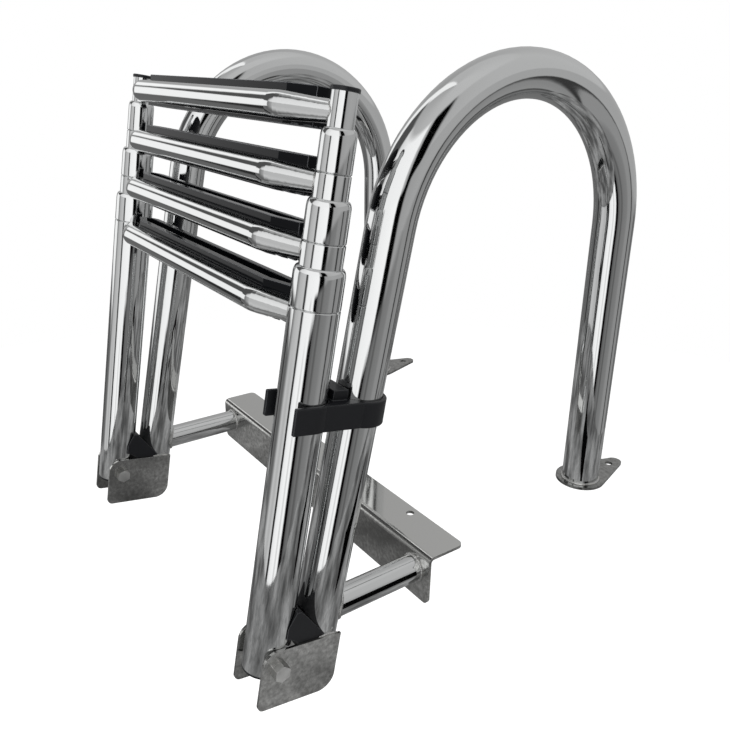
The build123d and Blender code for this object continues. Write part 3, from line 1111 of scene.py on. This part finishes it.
        # Swung round so that the bearing from which the camera looks is 0
        swung = add_node(
            tree,
            "Mapping",
            {"Vector": towards, "Rotation": (0, 0, math.pi / 2 + settings.heading)},
        )
        bearing = add_node(tree, "TexGradient", {"Vector": swung.outputs[0]}, gradient_type="RADIAL")
        low, middle, upper, high = (
            self.wall_ramp(tree, bearing.outputs["Fac"], stops)
            for stops in (ROOM_LOW, ROOM_MIDDLE, ROOM_UPPER, ROOM_HIGH)
        )
        height = add_node(tree, "SeparateXYZ", {"Vector": towards}).outputs["Z"]
        walls = self.pass_over(tree, height, LOW_TO_MIDDLE, low, middle)
        walls = self.pass_over(tree, height, MIDDLE_TO_UPPER, walls, upper)
        room = self.pass_over(tree, height, UPPER_TO_HIGH, walls, high)
        # With the lamps, light at which a colour renders about as it is written
        soft = add_node(tree, "Background", {"Color": (0.8, 0.8, 0.8, 1), "Strength": 1.0})
        mirrored = add_node(tree, "Background", {"Color": room, "Strength": 1.0})
        white = add_node(tree, "Background", {"Color": (1, 1, 1, 1), "Strength": 1.0})
        lit = add_node(
            tree, "MixShader", {0: rays.outputs["Is Glossy Ray"], 1: soft.outputs[0], 2: mirrored.outputs[0]}
        )
        seen = add_node(
            tree, "MixShader", {0: rays.outputs["Is Camera Ray"], 1: lit.outputs[0], 2: white.outputs[0]}
        )
        out = add_node(tree, "OutputWorld")
        tree.links.new(seen.outputs[0], out.inputs["Surface"])
        context.scene.world = world

    def wall_ramp(self, tree, bearing, stops):
        """Brightness all round at one height."""
        ramp = add_node(tree, "ValToRGB", {"Fac": bearing})
        set_ramp(ramp, [(0.5 + angle / 360, shade) for angle, shade in stops])
        return ramp.outputs["Color"]

    def pass_over(self, tree, height, edges, below, above):
        """Passes from one colour to another between two heights."""
        share = add_node(
            tree, "MapRange", {"Value": height, "From Min": edges[0], "From Max": edges[1]}
        )
        mixed = add_node(
            tree, "Mix", {"Factor": share.outputs[0], "A": below, "B": above}, data_type="RGBA"
        )
        return mixed.outputs["Result"]

    def hang_lamps(self, context, middle):
        """Two large soft lamps, high on both sides of the camera."""
        for name, offset, size, watts in LAMPS:
            data = bpy.data.lights.new(name, "AREA")
            data.energy = watts
            data.size = size
            lamp = bpy.data.objects.new(name, data)
            lamp.location = middle + Vector(offset)
            lamp.rotation_mode = "QUATERNION"
            lamp.rotation_quaternion = (-Vector(offset)).to_track_quat("-Z", "Y")
            lamp.visible_glossy = False
            context.scene.collection.objects.link(lamp)


class LADDER_PT_dressing(bpy.types.Panel):
    """Lists the ladder's finishing steps"""

    bl_label = "Boat Ladder"
    bl_idname = "LADDER_PT_dressing"
    bl_space_type = "VIEW_3D"
    bl_region_type = "UI"
    bl_category = "Boat Ladder"

    def draw(self, context):
        for operator in OPERATORS:
            self.layout.operator(operator.bl_idname)
        for group in SETTINGS:
            settings = getattr(context.scene, group)
            for name in settings.bl_rna.properties.keys():
                if name not in ("rna_type", "name"):
                    self.layout.prop(settings, name)


OPERATORS = (
    LADDER_OT_polish_tubes,
    LADDER_OT_turn_collars,
    LADDER_OT_finish_plates,
    LADDER_OT_mould_plastics,
    LADDER_OT_lay_welds,
    LADDER_OT_set_stage,
)
SETTINGS = {
    "ladder_steel": SteelSettings,
    "ladder_collar": CollarSettings,
    "ladder_plastic": PlasticSettings,
    "ladder_weld": WeldSettings,
    "ladder_stage": StageSettings,
}


def register():
    for cls in (*SETTINGS.values(), *OPERATORS, LADDER_PT_dressing):
        bpy.utils.register_class(cls)
    for name, group in SETTINGS.items():
        setattr(bpy.types.Scene, name, bpy.props.PointerProperty(type=group))


def unregister():
    for name in SETTINGS:
        delattr(bpy.types.Scene, name)
    for cls in reversed((*SETTINGS.values(), *OPERATORS, LADDER_PT_dressing)):
        bpy.utils.unregister_class(cls)


def main():
    register()
    bpy.ops.ladder.polish_tubes()
    bpy.ops.ladder.turn_collars()
    bpy.ops.ladder.finish_plates()
    bpy.ops.ladder.mould_plastics()
    bpy.ops.ladder.lay_welds()
    bpy.ops.ladder.set_stage()


if __name__ == "__main__":
    main()
